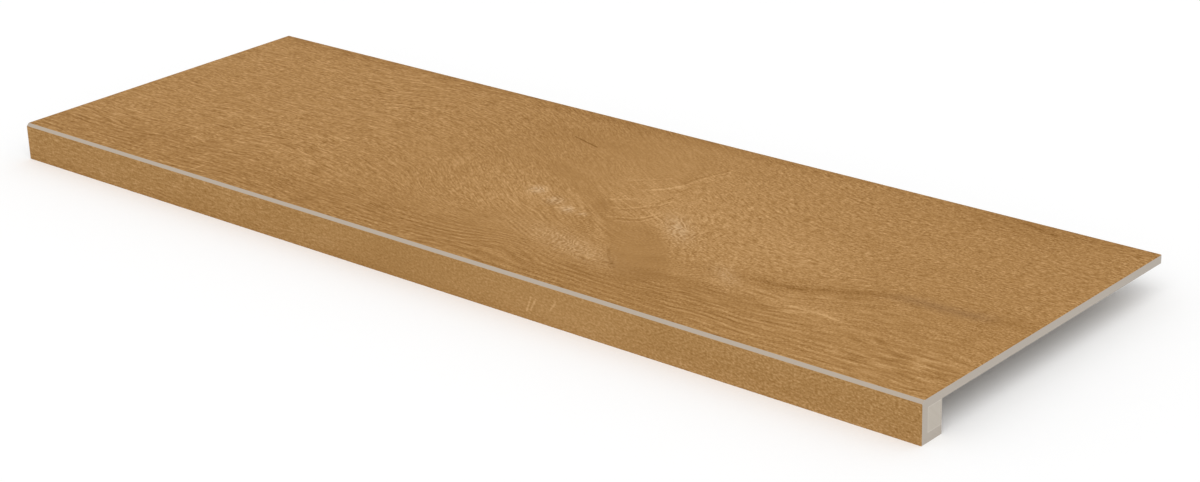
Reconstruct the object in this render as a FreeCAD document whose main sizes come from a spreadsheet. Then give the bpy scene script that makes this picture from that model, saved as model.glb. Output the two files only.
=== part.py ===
# Stair tread in wood-look porcelain: a tile slab with a built-up nosing glued under its front edge.
# Lengths are millimetres. X runs along the step, +Y from the nosing towards the riser, +Z is up.
# The origin lies on the plane under the nosing, at the middle of the tread's length and depth.
import FreeCAD, Part
import os
import Sketcher

doc = FreeCAD.newDocument("StairTread")

# Driving sizes: alias, value and what it measures.
DRIVING_SIZES = [
    ("tread_length", 1198, "along the step, a nominal 1200 tile after its edges are ground"),
    ("tread_depth", 398, "from the nosing's face to the rear edge, a nominal 400 tile"),
    ("tile_thickness", 9, "of the slab, the front strip and the bottom strip, all cut from one tile"),
    ("nosing_height", 42, "from the nosing's underside to the walking surface"),
    ("nosing_depth", 30, "from the nosing's face to its back"),
    ("nose_chamfer", 3.3, "each leg of the chamfer ground across the mitred nose"),
    ("rim_arris", 0.6, "each leg of the fine arris along the slab's rear and end edges"),
    ("groove_width", 9, "of each keying groove, at the slab's underside"),
    ("groove_taper", 0.8, "how far each flank of a keying groove leans in"),
    ("groove_depth", 0.6, "of the keying grooves that the adhesive fills"),
    ("groove_pitch", 22, "from one keying groove to the next"),
    ("groove_margin", 16, "plain back left behind the nosing and before the rear edge"),
    ("groove_fade", 14, "before each end of the slab, over which the keying grooves run out"),
    ("groove_end_depth", 0.05, "left of the grooves at the ends, where the slab's edge looks straight"),
]

sizes = doc.addObject("Spreadsheet::Sheet", "Sizes")
for row, (alias, value, meaning) in enumerate(DRIVING_SIZES, start=1):
    sizes.set(f"A{row}", alias)
    sizes.set(f"B{row}", str(value))
    sizes.set(f"C{row}", meaning)
    sizes.setAlias(f"B{row}", alias)
doc.recompute()

# Levels and lines that several pieces share, as formulas of the sheet.
FACE = "0"
FLOOR = "0"
TOP = "Sizes.nosing_height"
UNDERSIDE = "Sizes.nosing_height - Sizes.tile_thickness"
CHAMFER_BOTTOM = "Sizes.nosing_height - Sizes.nose_chamfer"
MITRE_END_Y = "Sizes.nose_chamfer / 2"
MITRE_END_Z = "Sizes.nosing_height - Sizes.nose_chamfer / 2"
NOSING_BACK = "Sizes.nosing_depth"
STRIP_BACK = "Sizes.tile_thickness"
REAR = "Sizes.tread_depth"

# How near two lengths count as the same, and the least share of a volume that counts as changed.
SAME_LENGTH = 0.001
SAME_SHARE = 1e-6


def value_of(formula):
    """Work out a formula of the sheet as a plain number."""
    return float(sizes.evalExpression(formula))


def add_piece(label):
    """Start one piece of the tread, whose Y is measured from the nosing's face."""
    body = doc.addObject("PartDesign::Body", label.title().replace("_", ""))
    body.Label = label
    body.setExpression("Placement.Base.y", "-Sizes.tread_depth / 2")
    return body


def draw_section(body, name, corners, place="0"):
    """Draw a closed outline across the step. Each corner is held at its own pair of formulas."""
    sketch = body.newObject("Sketcher::SketchObject", name)
    section_plane = next(plane for plane in body.Origin.OriginFeatures if plane.Role == "YZ_Plane")
    sketch.AttachmentSupport = (section_plane, [""])
    sketch.MapMode = "FlatFace"
    sketch.setExpression("AttachmentOffset.Base.z", place)
    points = [FreeCAD.Vector(value_of(along), value_of(up), 0) for along, up in corners]
    for line, start in enumerate(points):
        end = points[(line + 1) % len(points)]
        sketch.addGeometry(Part.LineSegment(start, end))
    for line, (along, up) in enumerate(corners):
        next_line = (line + 1) % len(corners)
        sketch.addConstraint(Sketcher.Constraint("Coincident", line, 2, next_line, 1))
        hold_corner(sketch, line, "DistanceX", along)
        hold_corner(sketch, line, "DistanceY", up)
    return sketch


def hold_corner(sketch, line, direction, formula):
    """Hold the start of a line at a distance from the sketch's origin, or on its axis for 0."""
    origin, start_point = -1, 1
    axis_for = {"DistanceX": -2, "DistanceY": -1}
    if formula == "0":
        sketch.addConstraint(Sketcher.Constraint("PointOnObject", line, start_point, axis_for[direction]))
        return
    held = Sketcher.Constraint(direction, origin, start_point, line, start_point, value_of(formula))
    index = sketch.addConstraint(held)
    sketch.setExpression(f"Constraints[{index}]", formula)


def pad_along_step(body, sketch, name):
    """Give a section its whole length, half to each side of the middle."""
    pad = body.newObject("PartDesign::Pad", name)
    pad.Profile = sketch
    pad.SideType = "Symmetric"
    pad.setExpression("Length", "Sizes.tread_length")
    doc.recompute()
    return pad


# The slab that is walked on. Its front edge is cut to a 45 degree mitre and its tip ground off.
slab = add_piece("tread_slab")
slab_section = draw_section(slab, "SlabSection", [
    ("Sizes.nose_chamfer", TOP),
    (REAR, TOP),
    (REAR, UNDERSIDE),
    (STRIP_BACK, UNDERSIDE),
    (MITRE_END_Y, MITRE_END_Z),
])
slab_pad = pad_along_step(slab, slab_section, "SlabPad")


def top_rim_edges(shape):
    """Name the edges round the walking surface, all but the one along the nose."""
    names = []
    for number, edge in enumerate(shape.Edges, start=1):
        box = edge.BoundBox
        on_top = box.ZMin > value_of(TOP) - SAME_LENGTH
        along_nose = box.YMax < value_of("Sizes.nose_chamfer") + SAME_LENGTH
        if on_top and not along_nose:
            names.append(f"Edge{number}")
    return names


# The rear and end edges of the walking surface keep the fine arris of a ground tile.
rim = slab.newObject("PartDesign::Chamfer", "RimArris")
rim.Base = (slab_pad, top_rim_edges(slab_pad.Shape))
rim.setExpression("Size", "Sizes.rim_arris")
doc.recompute()

# Shallow grooves run along the back behind the nosing, for the adhesive to key into.
GROOVE_START = "Sizes.nosing_depth + Sizes.groove_margin"
GROOVE_END = f"{GROOVE_START} + Sizes.groove_width"


def groove_corners(depth):
    """Give the corners of a groove's section at a depth. Its flanks lean alike at every depth."""
    lean = f"Sizes.groove_taper * {depth} / Sizes.groove_depth"
    return [
        (GROOVE_START, UNDERSIDE),
        (GROOVE_END, UNDERSIDE),
        (f"{GROOVE_END} - {lean}", f"{UNDERSIDE} + {depth}"),
        (f"{GROOVE_START} + {lean}", f"{UNDERSIDE} + {depth}"),
    ]


groove_section = draw_section(slab, "GrooveSection", groove_corners("Sizes.groove_depth"))
groove = slab.newObject("PartDesign::Pocket", "Groove")
groove.Profile = groove_section
groove.SideType = "Symmetric"
groove.setExpression("Length", "Sizes.tread_length - 2 * Sizes.groove_fade")
doc.recompute()


def fade_groove(side, name):
    """Run the groove out to the slab's left (-1) or right (1) end, where it has almost no depth."""
    fade_start = f"{side} * (Sizes.tread_length / 2 - Sizes.groove_fade)"
    deep_end = draw_section(slab, f"{name}Start", groove_corners("Sizes.groove_depth"), fade_start)
    slab_end = f"{side} * Sizes.tread_length / 2"
    faint_end = draw_section(slab, f"{name}End", groove_corners("Sizes.groove_end_depth"), slab_end)
    fade = slab.newObject("PartDesign::SubtractiveLoft", name)
    fade.Profile = deep_end
    fade.Sections = [faint_end]
    fade.Ruled = True
    doc.recompute()
    return fade


# The slab's ends keep a straight lower edge, because each groove fades out before it reaches them.
left_fade = fade_groove(-1, "LeftFade")
right_fade = fade_groove(1, "RightFade")

grooves = slab.newObject("PartDesign::LinearPattern", "Grooves")
grooves.Originals = [groove, left_fade, right_fade]
grooves.Direction = (groove_section, ["H_Axis"])
grooves.Mode = "Spacing"
grooves.setExpression("Offset", "Sizes.groove_pitch")
grooves.setExpression(
    "Occurrences",
    f"floor((Sizes.tread_depth - Sizes.groove_margin - ({GROOVE_END})) / Sizes.groove_pitch) + 1",
)
slab.Tip = grooves
doc.recompute()

# The strip that faces the nosing. It is mitred to the slab, and its decor runs down to the floor.
front = add_piece("front_strip")
front_section = draw_section(front, "FrontSection", [
    (FACE, FLOOR),
    (STRIP_BACK, FLOOR),
    (STRIP_BACK, UNDERSIDE),
    (MITRE_END_Y, MITRE_END_Z),
    (FACE, CHAMFER_BOTTOM),
])
pad_along_step(front, front_section, "FrontPad")

# The strip that closes the nosing below, butted against the back of the front strip.
bottom = add_piece("bottom_strip")
bottom_section = draw_section(bottom, "BottomSection", [
    (STRIP_BACK, FLOOR),
    (NOSING_BACK, FLOOR),
    (NOSING_BACK, "Sizes.tile_thickness"),
    (STRIP_BACK, "Sizes.tile_thickness"),
])
pad_along_step(bottom, bottom_section, "BottomPad")

# The filler that the three tile pieces are glued to, flush with the nosing's back and ends.
core = add_piece("core_strip")
core_section = draw_section(core, "CoreSection", [
    (STRIP_BACK, "Sizes.tile_thickness"),
    (NOSING_BACK, "Sizes.tile_thickness"),
    (NOSING_BACK, UNDERSIDE),
    (STRIP_BACK, UNDERSIDE),
])
pad_along_step(core, core_section, "CorePad")

doc.recompute()

# Nothing is written unless every feature came out sound.
for item in doc.Objects:
    if "Invalid" in item.State or "Error" in item.State:
        raise RuntimeError(f"{item.Name} failed to build: {item.State}")

pieces = [slab, front, bottom, core]
for piece in pieces:
    if piece.Shape.isNull() or not piece.Shape.isValid() or len(piece.Shape.Solids) != 1:
        raise RuntimeError(f"{piece.Label} is not one sound solid")

def groove_area(depth):
    """Work out the section's area of a groove at a depth."""
    lean = value_of("Sizes.groove_taper") * depth / value_of("Sizes.groove_depth")
    return (value_of("Sizes.groove_width") - lean) * depth


# The grooves have to take out of the slab what their section, length, fades and number say.
full_depth = value_of("Sizes.groove_depth")
end_depth = value_of("Sizes.groove_end_depth")
middle_area = groove_area((full_depth + end_depth) / 2)
fade_area = (groove_area(full_depth) + 4 * middle_area + groove_area(end_depth)) / 6
even_length = value_of("Sizes.tread_length - 2 * Sizes.groove_fade")
fades_length = value_of("2 * Sizes.groove_fade")
one_groove = groove_area(full_depth) * even_length + fade_area * fades_length
groove_volume = one_groove * grooves.Occurrences
removed = rim.Shape.Volume - slab.Shape.Volume
if abs(removed - groove_volume) > SAME_SHARE * slab.Shape.Volume:
    raise RuntimeError(f"the keying grooves took out {removed:.1f} in place of {groove_volume:.1f}")

os.makedirs("parts", exist_ok=True)
for piece in pieces:
    piece.Shape.exportStep(f"parts/{piece.Label}.step")
    box = piece.Shape.BoundBox
    print(f"{piece.Label}: {box.XLength:.1f} x {box.YLength:.1f} x {box.ZLength:.1f}")
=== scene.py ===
import math

import bpy
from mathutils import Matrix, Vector


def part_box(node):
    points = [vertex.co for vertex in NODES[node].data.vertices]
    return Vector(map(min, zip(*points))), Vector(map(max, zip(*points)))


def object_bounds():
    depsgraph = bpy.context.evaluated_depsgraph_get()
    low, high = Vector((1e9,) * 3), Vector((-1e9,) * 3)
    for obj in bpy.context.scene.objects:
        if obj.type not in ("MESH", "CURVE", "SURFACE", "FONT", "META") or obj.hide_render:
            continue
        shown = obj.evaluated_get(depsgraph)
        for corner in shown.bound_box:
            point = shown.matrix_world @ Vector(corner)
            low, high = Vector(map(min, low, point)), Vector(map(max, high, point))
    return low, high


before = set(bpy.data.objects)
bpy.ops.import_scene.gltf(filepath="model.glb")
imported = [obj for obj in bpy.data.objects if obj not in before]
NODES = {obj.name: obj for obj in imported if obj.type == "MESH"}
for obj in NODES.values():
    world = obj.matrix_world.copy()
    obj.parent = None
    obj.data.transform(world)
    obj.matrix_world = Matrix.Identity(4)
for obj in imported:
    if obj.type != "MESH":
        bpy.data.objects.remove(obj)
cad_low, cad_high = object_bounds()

# The slab that is walked on: a porcelain tile, pressed and fired, with a wood figure printed under a
# matte glaze on its top. Its edges are sawn and ground, so the light body shows along them and across
# the chamfered nose. Places on it are millimetres from its left end and from the nosing's face.
MM = 0.001
LENGTH = (cad_high.x - cad_low.x) / MM
DEPTH = (cad_high.y - cad_low.y) / MM
HEIGHT = (cad_high.z - cad_low.z) / MM
TILE_THICKNESS = (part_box("tread_slab")[1].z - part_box("tread_slab")[0].z) / MM
NOSE_CHAMFER = 3.3


class Term:
    """One number, colour or vector of a material, so that patterns can be written as plain sums."""

    def __init__(self, tree, socket):
        self.tree = tree
        self.socket = socket

    def make(self, kind, settings, inputs, output=0):
        """Add a node with these settings and inputs, and give one of its outputs."""
        node = self.tree.nodes.new(kind)
        for name, setting in settings.items():
            setattr(node, name, setting)
        for name, value in inputs.items():
            if isinstance(value, Term):
                self.tree.links.new(value.socket, node.inputs[name])
            else:
                node.inputs[name].default_value = value
        return Term(self.tree, node.outputs[output])

    def maths(self, operation, *others):
        """Add a Math node that starts from this number."""
        return self.make("ShaderNodeMath", {"operation": operation}, dict(enumerate((self, *others))))

    def __add__(self, other):
        return self.maths("ADD", other)

    __radd__ = __add__

    def __sub__(self, other):
        return self.maths("SUBTRACT", other)

    def __rsub__(self, other):
        return self * -1 + other

    def __mul__(self, other):
        return self.maths("MULTIPLY", other)

    __rmul__ = __mul__

    def __truediv__(self, other):
        return self.maths("DIVIDE", other)

    def over(self, other):
        """Give this number where it is larger than the other, and the other elsewhere."""
        return self.maths("MAXIMUM", other)

    def between(self, low, high):
        """Rise smoothly from 0 at low to 1 at high, or fall if low is the larger."""
        inputs = {"Value": self, "From Min": low, "From Max": high}
        settings = {"interpolation_type": "SMOOTHSTEP"}
        return self.make("ShaderNodeMapRange", settings, inputs)

    def vector(self, x, y, z):
        """Put three numbers together as a vector."""
        return self.make("ShaderNodeCombineXYZ", {}, {"X": x, "Y": y, "Z": z})

    def vectors(self, operation, inputs, output="Vector"):
        """Add a Vector Math node that starts from this vector."""
        return self.make("ShaderNodeVectorMath", {"operation": operation}, {0: self, **inputs}, output)

    def noise(self, x, y, seed, detail=2.0, roughness=0.5):
        """Give smooth noise about 0 at a place whose features are about 1 across."""
        place = self.vector(x, y, seed)
        inputs = {"Vector": place, "Scale": 1.0, "Detail": detail, "Roughness": roughness}
        return self.make("ShaderNodeTexNoise", {}, inputs) - 0.5

    def blend(self, first, second):
        """Go from one colour to another as this number goes from 0 to 1."""
        inputs = {0: self, 6: first, 7: second}
        return self.make("ShaderNodeMix", {"data_type": "RGBA"}, inputs, 2)


def hill(along, across, centre, reach, lean=0):
    """Give 1 at a centre, falling to a third at its reach along and across, leaning by degrees."""
    turn = math.radians(lean)
    from_x = along - centre[0]
    from_y = across - centre[1]
    forward = (from_x * math.cos(turn) + from_y * math.sin(turn)) / reach[0]
    sideways = (from_y * math.cos(turn) - from_x * math.sin(turn)) / reach[1]
    spread = forward * forward + sideways * sideways
    return (spread * -1).maths("EXPONENT")


def distance_to(place, bend_lines):
    """Give the distance from a place to the nearest of some bent lines, each a list of points."""
    nearest = None
    for points in bend_lines:
        for start, end in zip(points, points[1:]):
            run = Vector(end) - Vector(start)
            offset = place.vectors("SUBTRACT", {1: (*start, 0)})
            ahead = offset.vectors("DOT_PRODUCT", {1: (*(run / run.length_squared), 0)}, "Value")
            share = ahead.make("ShaderNodeClamp", {}, {"Value": ahead})
            foot = offset.vectors("SCALE", {0: (*run, 0), "Scale": share})
            distance = offset.vectors("DISTANCE", {1: foot}, "Value")
            nearest = distance if nearest is None else nearest.maths("MINIMUM", distance)
    return nearest


def srgb(red, green, blue):
    """Turn a colour as it looks on a screen, 0 to 255, into the numbers that a material takes."""
    parts = [part / 255 for part in (red, green, blue)]
    linear = [part / 12.92 if part <= 0.04045 else ((part + 0.055) / 1.055) ** 2.4 for part in parts]
    return (*linear, 1.0)


TOP_WOOD = (srgb(128, 85, 29), srgb(168, 125, 71), srgb(207, 164, 111))
BLEACHED_WOOD = srgb(214, 190, 160)
PALE_LEVELS = 40
BODY_DARK = srgb(183, 174, 163)
BODY_PALE = srgb(198, 189, 178)
GROUND_DARK = srgb(172, 159, 144)
GROUND_PALE = srgb(187, 174, 159)
KILN_WASH = srgb(214, 209, 202)


def new_material(name):
    """Start a material and give its tree and its surface shader."""
    material = bpy.data.materials.new(name)
    material.use_nodes = True
    shader = material.node_tree.nodes["Principled BSDF"]
    return material, material.node_tree, shader


def places_in(tree):
    """Give a place's distances along the tread, back from the nosing's face and up from its foot."""
    coordinates = tree.nodes.new("ShaderNodeTexCoord")
    parts = tree.nodes.new("ShaderNodeSeparateXYZ")
    tree.links.new(coordinates.outputs["Object"], parts.inputs["Vector"])
    across_x, across_y, up = (Term(tree, output) for output in parts.outputs)
    return across_x / MM + LENGTH / 2, across_y / MM + DEPTH / 2, up / MM


def dress(tree, shader, colour, roughness, height):
    """Give a surface its colour, its roughness and the relief that the light catches."""
    tree.links.new(colour.socket, shader.inputs["Base Color"])
    tree.links.new(roughness.socket, shader.inputs["Roughness"])
    shader.inputs["Specular IOR Level"].default_value = 0.08
    bump = tree.nodes.new("ShaderNodeBump")
    bump.inputs["Distance"].default_value = 0.15 * MM
    bump.inputs["Strength"].default_value = 0.6
    tree.links.new(height.socket, bump.inputs["Height"])
    tree.links.new(bump.outputs["Normal"], shader.inputs["Normal"])


def bare_body(along, deep, high):
    """Draw the fired body: fine dark and pale specks, and browner where the nose is ground."""
    speck = along.noise(along * 0.9, deep * 0.9 + high * 1.3, 3.0, 3.0)
    from_tip = deep + (HEIGHT - high)
    ground = (from_tip - NOSE_CHAMFER).maths("ABSOLUTE").between(0.3, 0.1)
    plain = (speck * 0.5 + 0.5).blend(BODY_DARK, BODY_PALE)
    browner = (speck * 0.5 + 0.5).blend(GROUND_DARK, GROUND_PALE)
    return ground.blend(plain, browner), speck


def glaze_depth(deep, high):
    """Give how deep the glaze reaches: thin where the nose is ground, and thicker away from it."""
    from_tip = deep + (HEIGHT - high)
    return from_tip.between(NOSE_CHAMFER + 0.2, NOSE_CHAMFER + 2) * 0.5 + 0.2


def tile_material(name, wood_colours, figure_of, glaze_side, washed_below):
    """Make a tile's material: a wood figure on its glazed side, and the bare body elsewhere. Below a
    height the body is a pressed back, on which the kiln's white wash has left a patchy film."""
    dark_wood, middle_wood, pale_wood = wood_colours
    material, tree, shader = new_material(name)
    along, deep, high = places_in(tree)
    tone, relief, bleached = figure_of(along, deep, high)
    glaze = glaze_side(deep, high)
    shade = tone / PALE_LEVELS
    paler = shade.over(0).blend(middle_wood, pale_wood)
    darker = (shade * -1).over(0).blend(middle_wood, dark_wood)
    wood = bleached.blend(shade.maths("GREATER_THAN", 0).blend(darker, paler), BLEACHED_WOOD)
    body, speck = bare_body(along, deep, high)
    film = along.noise(along / 60, deep / 25, 5.0, 3.0).between(-0.2, 0.2) * 0.6 + 0.1
    body = (high.between(washed_below, washed_below - 0.05) * film).blend(body, KILN_WASH)
    height = glaze * relief + (1 - glaze) * speck * 0.6
    dress(tree, shader, glaze.blend(body, wood), glaze * -0.2 + 0.85, height)
    return material


# The fine lines of the figure round the knot, each traced through its bends.
PALE_LINES = [
    [(735, 336), (730, 322), (726, 308), (722, 293), (721, 281), (716, 268), (709, 256), (702, 249)],
    [(738, 330), (736, 318), (733, 299)],
    [(664, 256), (677, 265), (687, 274), (697, 285)],
    [(683, 203), (694, 210), (704, 221)],
    [(700, 188), (710, 191), (718, 198), (726, 209), (734, 220), (739, 234)],
    [(712, 165), (724, 172), (736, 176), (743, 184), (747, 193), (748, 203)],
    [(726, 162), (739, 168), (748, 175), (753, 187), (754, 202)],
    [(590, 187), (602, 190), (614, 186)],
    [(597, 172), (608, 178)],
    [(628, 164), (640, 176), (649, 169)],
    [(655, 153), (668, 165), (678, 156)],
    [(682, 161), (693, 153)],
    [(732, 121), (740, 120), (744, 126)],
    [(880, 158), (895, 130)],
    [(992, 94), (1020, 96), (1046, 93)],
    [(192, 82), (213, 76)],
    [(266, 10), (268, 30)],
]
PALE_BANDS = [
    [(724, 276), (716, 264), (705, 252), (694, 241)],
    [(631, 200), (651, 191), (664, 180), (676, 170)],
    [(716, 146), (730, 133)],
    [(990, 93), (1024, 97), (1052, 93)],
]
DARK_LINES = [
    [(730, 336), (724, 318), (718, 300), (717, 284)],
    [(731, 276), (728, 262), (722, 252)],
    [(693, 279), (683, 268), (670, 258)],
    [(733, 242), (731, 228), (732, 217)],
    [(714, 188), (722, 197), (730, 206), (738, 217)],
    [(725, 167), (737, 171), (745, 178), (750, 190)],
    [(768, 102), (785, 84), (803, 69)],
    [(683, 72), (693, 68)],
    [(1053, 390), (1093, 381)],
]
SCRATCH = [[(531, 325), (572, 313)]]
NEST_SPOTS = [
    ((606, 181), (10, 8), 9, 0.26),
    ((641, 168), (11, 8), 1, 0.2),
    ((668, 157), (9, 7), 5, 0.2),
    ((689, 156), (5, 4), 8, 0.14),
]
SMOOTH_BAND = [
    [(575, 244), (620, 226), (672, 198), (708, 174), (745, 150), (779, 129), (805, 105), (832, 78)],
]


def walking_figure(along, deep, high):
    """Draw the plank's figure: lengthwise grain that dips under a knot right of the middle."""
    place = along.vector(along, deep, 0)

    # Each grain line left of the knot drops as it nears it and rises again behind it.
    wander = along.noise(along / 240, deep / 260, 1.0) * 60 + along.noise(along / 50, deep / 80, 2.0) * 9
    dip = along.between(385, 800) * along.between(900, 770) * deep.between(20, 125) * 180
    step = along.between(970, 1070) * hill(along, deep, (1120, 160), (400, 85)) * 40
    bulge = hill(along, deep, (684, 50), (46, 26)) * 22
    level = deep - bulge - step
    line = level + dip + wander

    # Right of the knot the lines come down from the back edge and run level past the middle.
    slant = deep + along.between(600, 950) * 120 - step + wander * 0.5
    seam = along.between(700, 840) * -185 + along.between(950, 1070) * 55 + 300
    beyond = (deep - seam).between(-12, 12) * along.between(680, 730)

    # Smooth wood in the knot, and calmer wood behind it and left of it.
    width = along.between(690, 780) * 16 + along.noise(along / 40, deep / 30, 3.0) * 14 + 11
    smooth = (distance_to(place, SMOOTH_BAND) - width).between(3, -3)
    still = hill(along, deep, (797, 110), (58, 32), -48)
    calm = hill(along, deep, (600, 330), (100, 60)) * 0.62
    calm = calm.over(hill(along, deep, (672, 310), (45, 60)) * 0.5)
    calm = calm.over(hill(along, deep, (600, 255), (60, 45)) * 0.55)
    calm = calm.over(hill(along, deep, (460, 180), (90, 120)) * 0.25)
    calm = calm.over(hill(along, deep, (530, 285), (55, 85)) * 0.4)
    lively = hill(along, deep, (300, 285), (75, 35)) * 0.35 + hill(along, deep, (290, 145), (130, 38)) * 0.25
    plain = (1 - smooth * (still * 0.5 + 0.22)) * (1 - calm) * (1 + lively)
    lined = deep.between(100, 55)

    # Growth lines, drawn-out streaks, and the flecks and specks of the pores.
    bend = along.noise(along / 170, level / 36, 4.0, 2.0) * 3 + wander * 0.06
    growth = (level * (2 * math.pi / 7.8) + bend * math.pi).maths("SINE") * lined
    growth = growth * (along.noise(along / 120, level / 16, 8.0).between(-0.25, 0.1) * 0.75 + 0.25)
    near_streak = along.noise(along / 26, line / 3.6, 6.0, 2.0)
    far_streak = along.noise(along / 9, slant / 3.4, 7.0, 1.0)
    streak = near_streak + beyond * (far_streak - near_streak)
    patch = along.noise(along / 100, line / 26, 9.0).between(-0.2, 0.2)
    fleck = along.noise(along / 6, line / 2.3, 17.0, 1.0, 0.6)
    speck = along.noise(along / 3.1, deep / 1.9, 19.0, 1.0, 0.7)
    speck = speck * (along.noise(along / 45, deep / 28, 21.0) * 1.2 + 0.94)
    fleck = fleck + along.between(560, 720) * (speck - fleck)
    cloud = along.noise(along / 90, deep / 34 + line / 200, 13.0, 3.0, 0.6)

    drawn_out = along.between(560, 330) * (1 - lined)
    tone = cloud * 14 + growth * plain * (along.between(700, 900) * 2.5 + 6)
    tone = tone + streak * plain * (1 - calm * 0.5) * (patch * 60 + 40 + lined * 10 + drawn_out * 12)
    tone = tone + fleck * plain * (118 - patch * 34 - lined * 16 - drawn_out * 12)

    # The growth lines are clearest in front of the knot, to its left.
    tone = tone + growth * hill(along, deep, (620, 44), (85, 26)) * 9

    # Broad shading: pale above the knot, darker along the front and in the far right corner.
    tone = tone + hill(along, deep, (770, 240), (150, 90), -20) * 7
    tone = tone + hill(along, deep, (920, 200), (70, 40)) * 4
    tone = tone - deep.between(100, 40) * along.between(1040, 900) * 5
    tone = tone - hill(along, deep, (520, 40), (260, 30)) * 3
    tone = tone - hill(along, deep, (860, 50), (90, 36)) * 3
    tone = tone - hill(along, deep, (1065, 388), (100, 46)) * 7
    tone = tone - hill(along, deep, (515, 330), (90, 75)) * 5
    tone = tone + hill(along, deep, (290, 250), (260, 130)) * 1
    tone = tone - hill(along, deep, (155, 68), (65, 28)) * 3
    tone = tone - hill(along, deep, (1145, 158), (50, 22)) * 3
    tone = tone + hill(along, deep, (1020, 98), (52, 24)) * 5
    tone = tone + hill(along, deep, (690, 238), (45, 30)) * 3
    tone = tone + hill(along, deep, (545, 190), (40, 30)) * 3
    tone = tone + hill(along, deep, (900, 150), (90, 30)) * 3
    tone = tone + hill(along, deep, (712, 62), (60, 24)) * 4
    tone = tone + hill(along, deep, (722, 222), (20, 12)) * 5
    tone = tone + hill(along, deep, (880, 214), (110, 14)) * 4
    tone = tone + hill(along, deep, (950, 180), (40, 14)) * 4
    tone = tone + hill(along, deep, (922, 99), (22, 7)) * 7
    tone = tone + hill(along, deep, (978, 90), (32, 8)) * 4
    tone = tone + hill(along, deep, (858, 92), (10, 7)) * 6
    tone = tone - deep.between(370, 392) * (10 - along.between(700, 1000) * 5)
    tone = tone - hill(along, deep, (40, 392), (70, 14)) * 4

    # The darker smooth wood of the knot, and the rings on the right of its eye.
    tone = tone - smooth * (4 - still * 1.5)
    tone = tone - hill(along, deep, (783, 150), (16, 12), -30) * 6
    tone = tone - hill(along, deep, (788, 92), (8, 8)) * 5
    tone = tone - hill(along, deep, (748, 130), (12, 12)) * 4
    tone = tone - hill(along, deep, (822, 112), (11, 13), -50) * 5
    tone = tone - hill(along, deep, (870, 118), (22, 8)) * 5
    tone = tone - hill(along, deep, (826, 80), (28, 17), -50) * 5
    tone = tone - hill(along, deep, (711, 298), (7, 28), 8) * 6
    tone = tone - hill(along, deep, (690, 190), (34, 16), -30) * 3
    tone = tone - hill(along, deep, (705, 140), (26, 12), -30) * 4
    from_eye = place.vectors("DISTANCE", {1: (727, 188, 0)}, "Value")
    rings = ((from_eye - 19) * (2 * math.pi / 5.8)).maths("COSINE")
    tone = tone + rings * hill(along, deep, (748, 184), (14, 20)) * 5

    # The curly paler wood round the knot, bleached where it is palest.
    curl = along * 0.75 + deep * 0.6
    curl = curl + along.noise(along / 22, deep / 22, 23.0) * 24
    curl = curl + along.noise(along / 60, deep / 40, 24.0) * 30 + along.noise(along / 9, deep / 9, 26.0) * 9
    ripple = (curl * (2 * math.pi / 5.2)).maths("SINE")
    ripple = ripple * along.noise(along / 9, deep / 9, 25.0).between(-0.25, 0.1)
    nest = hill(along, deep, (640, 170), (46, 15), -24)
    low_bank = hill(along, deep, (732, 88), (64, 17), -14)
    high_bank = hill(along, deep, (790, 182), (34, 12), -42)
    outer_bank = hill(along, deep, (815, 168), (60, 26), -38)
    squiggle = hill(along, deep, (900, 116), (26, 10), -34)
    tone = tone + hill(along, deep, (757, 90), (16, 10), -40) * 4
    tone = tone + hill(along, deep, (765, 205), (16, 9), -42) * 4
    tone = tone + hill(along, deep, (799, 166), (9, 7)) * 4
    bleached = low_bank * 0.08 + high_bank * 0.16 + squiggle * 0.08
    for centre, reach, paler, whiter in NEST_SPOTS:
        spot = hill(along, deep, centre, reach, -30)
        tone = tone + spot * (ripple * 17 + paler)
        bleached = bleached + spot * whiter
    bleached = bleached * (ripple * 0.6 + 0.9)
    tone = tone + nest * (ripple * 9 + 3) + low_bank * (ripple * 16 + 8)
    tone = tone + high_bank * (ripple * 16 + 3) + outer_bank * (ripple * 9 + 2)
    tone = tone + hill(along, deep, (592, 152), (58, 36)) * 7 + squiggle * (ripple * 6 + 8)

    # Dark lines crowd together in front of the knot, where they slope, and further on run level.
    sloping = (deep + along * 0.5 + wander * 0.3) * (2 * math.pi / 5.6)
    sloping = sloping.maths("SINE") * hill(along, deep, (664, 92), (34, 12), -27)
    level_lines = (deep + along * 0.04 + wander * 0.2) * (2 * math.pi / 7)
    level_lines = level_lines.maths("SINE") * hill(along, deep, (810, 40), (62, 17), -3)
    tone = tone + sloping * 13 + level_lines * 8 - hill(along, deep, (785, 44), (26, 12)) * 5

    # Dark lines that run out to the right end.
    vein_at = along.between(945, 1075) * 45 + along.between(1110, 1190) * 8 + 127
    vein_at = vein_at + along.noise(along / 18, deep / 30, 41.0) * 5
    vein_body = (deep - vein_at + 1) / 10
    vein_body = (vein_body * vein_body * -1).maths("EXPONENT")
    vein_heart = (deep - vein_at + 2) / 3
    vein_heart = (vein_heart * vein_heart * -1).maths("EXPONENT")
    vein = vein_body * (near_streak * 20 + 13) + vein_heart * (near_streak * 24 + 8)
    tone = tone - vein * along.between(880, 960) * (1 - along.between(1130, 1200) * 0.6)
    bleached = bleached + vein_body * along.between(1030, 1080) * along.between(1170, 1140) * 0.06
    tone = tone - hill(along, deep, (978, 132), (18, 4), 14) * 6
    tone = tone - hill(along, deep, (1110, 165), (45, 9), 6) * 3
    tone = tone - hill(along, deep, (905, 80), (80, 8)) * 9
    tone = tone - hill(along, deep, (1053, 133), (9, 6)) * 17
    tone = tone - hill(along, deep, (1073, 385), (34, 3.5), -13) * 9

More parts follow.
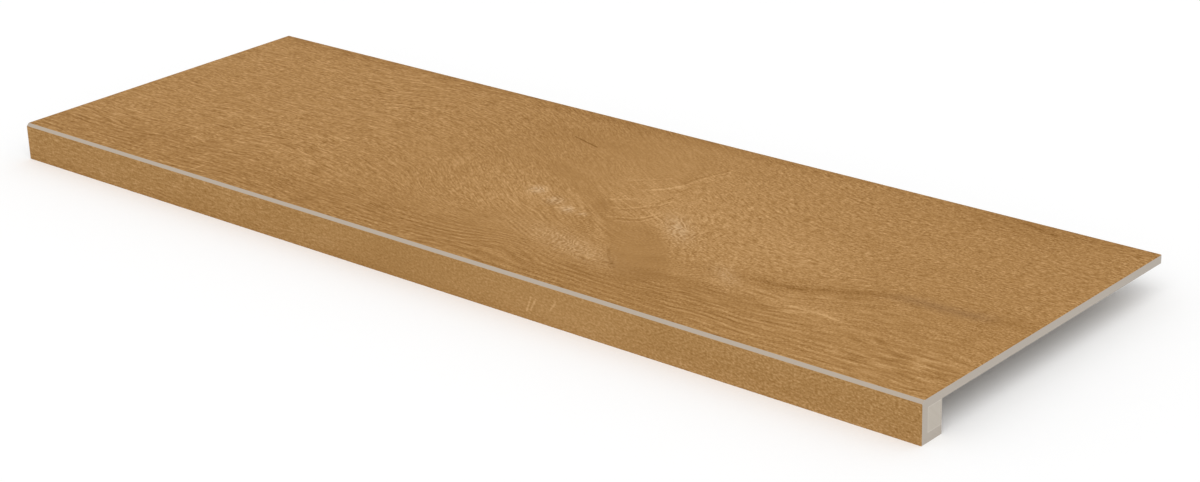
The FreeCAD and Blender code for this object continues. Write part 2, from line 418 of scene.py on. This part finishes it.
    # The fine lines, broken up along their length.
    broken = along.noise(along / 9, deep / 9, 51.0, 1.0).between(-0.35, 0.05)
    tone = tone + distance_to(place, PALE_LINES).between(2.4, 0.3) * broken * 17
    tone = tone + distance_to(place, PALE_BANDS).between(4.5, 0.5) * broken * 12
    tone = tone - distance_to(place, DARK_LINES).between(2.8, 0.4) * broken * 14
    tone = tone - distance_to(place, SCRATCH).between(1.6, 0.4) * 34
    return tone, streak + fleck, bleached


def top_only(deep, high):
    """Give 1 on the walking surface and 0 on the sawn sides, the back and the nose chamfer."""
    return (high - HEIGHT + glaze_depth(deep, high)).between(0, 0.05)


slab = NODES["tread_slab"]
slab.data.materials.clear()
BACK = HEIGHT - TILE_THICKNESS + 0.1
slab.data.materials.append(tile_material("walking_glaze", TOP_WOOD, walking_figure, top_only, BACK))


# The strip that faces the nosing, cut from the same tile and stood on edge. It is mitred to the slab
# and bonded with epoxy, and its own printed figure runs down to the bottom edge.
FACE_WOOD = (srgb(129, 88, 34), srgb(169, 128, 76), srgb(209, 168, 117))


FACE_MARKS = [
    [(759, 24), (756, 16), (753, 9)],
    [(765, 23), (758, 11)],
    [(790, 26), (784, 18)],
]


def facing_figure(along, deep, high):
    """Draw the strip's figure: fine lengthwise grain that turns to short flecks at the right."""
    line = high + along.noise(along / 240, high / 60, 31.0) * 16 + along * 0.01
    leftward = along.between(620, 330)
    grain = along.noise(along / 29, line / 3, 34.0, 2.0)
    fine = along.noise(along / 9.5, line / 1.9, 35.0, 1.0)
    flecks = along.noise(along / 3.2, (high + along * 0.06) / 1.9, 39.0, 1.0, 0.6)
    cloud = along.noise(along / 90, line / 30, 37.0, 3.0)
    calmer = hill(along, high, (600, 18), (130, 60)).over(hill(along, high, (760, 18), (150, 60)))
    tone = grain * (leftward * 22 + 4 + along.between(780, 900) * 14) + fine * (leftward * 42 + 16)
    tone = tone + flecks * (leftward * -30 + 86 - calmer * 32 + along.between(850, 1100) * 4)
    tone = tone + cloud * 12 + hill(along, high, (785, 14), (95, 30)) * 6
    tone = tone - hill(along, high, (570, 18), (60, 40)) * 2
    tone = tone + high.between(13, 3) * (along.between(780, 960) * 8 - 3) - high.between(1.1, 0.2) * 7
    tone = tone + distance_to(along.vector(along, high, 0), FACE_MARKS).between(1.7, 0.4) * 18
    tone = tone - hill(along, high, (FACE_MARKS[0][1][0] + 3, FACE_MARKS[0][1][1]), (2.5, 5)) * 6
    return tone, grain + fine, cloud.between(0.1, 0.5) * 0.05


def face_only(deep, high):
    """Give 1 on the nosing's face."""
    return (glaze_depth(deep, high) - deep).between(0, 0.05)


front = NODES["front_strip"]
front.data.materials.clear()
NOWHERE = -1
front.data.materials.append(tile_material("facing_glaze", FACE_WOOD, facing_figure, face_only, NOWHERE))


# The strip that closes the nosing from below, sawn from the same tile. Its bare back faces down, and
# its glazed side is glued to the filler.
bottom = NODES["bottom_strip"]
bare_material, bare_tree, bare_shader = new_material("bare_body")
bare_along, bare_deep, bare_high = places_in(bare_tree)
bare_colour, bare_speck = bare_body(bare_along, bare_deep, bare_high)
dress(bare_tree, bare_shader, bare_colour, bare_speck * 0.1 + 0.85, bare_speck * 0.6)
bottom.data.materials.clear()
bottom.data.materials.append(bare_material)


# The filler that the tile pieces are glued to, cast in a mould and slightly porous. It is paler and
# warmer than the tile's body, and palest where the glue has bled out round it.
FILLER_DARK = srgb(192, 183, 170)
FILLER_PALE = srgb(206, 198, 187)
GLUE = srgb(212, 204, 194)
core = NODES["core_strip"]
core_low, core_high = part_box("core_strip")
core_material, core_tree, core_shader = new_material("pale_filler")
core_along, core_deep, core_up = places_in(core_tree)
pores = core_along.noise(core_along / 1.4, core_deep / 1.4 + core_up / 1.1, 61.0, 3.0, 0.7)
patches = core_along.noise(core_along / 9, core_deep / 6 + core_up / 7, 63.0, 2.0)
from_front = core_deep - (core_low.y / MM + DEPTH / 2)
from_top = core_high.z / MM - core_up
from_foot = core_up - core_low.z / MM
from_glue = from_front.maths("MINIMUM", from_top).maths("MINIMUM", from_foot)
filler = (pores * 0.7 + patches * 0.5 + 0.5).blend(FILLER_DARK, FILLER_PALE)
core_colour = (from_glue.between(1.1, 0.2) * 0.8).blend(filler, GLUE)
dress(core_tree, core_shader, core_colour, pores * 0.1 + 0.88, pores)
core.data.materials.clear()
core.data.materials.append(core_material)

# The floor is a plain white sheet. The camera sees it a little paler than the light it gives back.
bpy.ops.mesh.primitive_plane_add(size=40, location=(0, 0, 0))
floor = bpy.context.object
floor.name = "floor"
floor_material, floor_tree, floor_shader = new_material("floor_white")
light_path = floor_tree.nodes.new("ShaderNodeLightPath")
seen = Term(floor_tree, light_path.outputs["Is Camera Ray"])
seen = seen.over(Term(floor_tree, light_path.outputs["Is Glossy Ray"]))
seen = seen.over(Term(floor_tree, light_path.outputs["Is Transmission Ray"]))
floor_colour = seen.blend((0.8, 0.8, 0.8, 1.0), (1.0, 1.0, 1.0, 1.0))
floor_tree.links.new(floor_colour.socket, floor_shader.inputs["Base Color"])
floor_shader.inputs["Roughness"].default_value = 1.0
floor_shader.inputs["Specular IOR Level"].default_value = 0.0
floor.data.materials.append(floor_material)

# Soft light from a white room, and one wide lamp above and to the right of the nosing.
world = bpy.data.worlds.new("white_room")
world.use_nodes = True
bpy.context.scene.world = world
room = world.node_tree.nodes["Background"]
room.inputs["Color"].default_value = (1.0, 1.0, 1.0, 1.0)
world_path = world.node_tree.nodes.new("ShaderNodeLightPath")
seen_room = Term(world.node_tree, world_path.outputs["Is Camera Ray"])
seen_room = seen_room.over(Term(world.node_tree, world_path.outputs["Is Glossy Ray"]))
seen_room = seen_room.over(Term(world.node_tree, world_path.outputs["Is Transmission Ray"]))
room_strength = seen_room * 0.3 + 0.7
world.node_tree.links.new(room_strength.socket, room.inputs["Strength"])

lamp_data = bpy.data.lights.new("wide_lamp", "SUN")
lamp_data.energy = 1.25
lamp_data.angle = math.radians(55)
lamp = bpy.data.objects.new("wide_lamp", lamp_data)
lamp.rotation_euler = (math.radians(39), 0, math.radians(35))
bpy.context.scene.collection.objects.link(lamp)

# The camera stands to the right of the nosing and looks down along the tread.
camera_data = bpy.data.cameras.new("camera")
camera_data.sensor_width = 36
camera_data.lens = 76.79
camera_data.clip_end = 100
camera = bpy.data.objects.new("camera", camera_data)
camera.location = (1.6713, -1.8098, 0.9652)
camera.rotation_euler = (math.radians(68.101), math.radians(1.846), math.radians(40.702))
bpy.context.scene.collection.objects.link(camera)
bpy.context.scene.camera = camera
bpy.context.scene.view_settings.view_transform = "Standard"
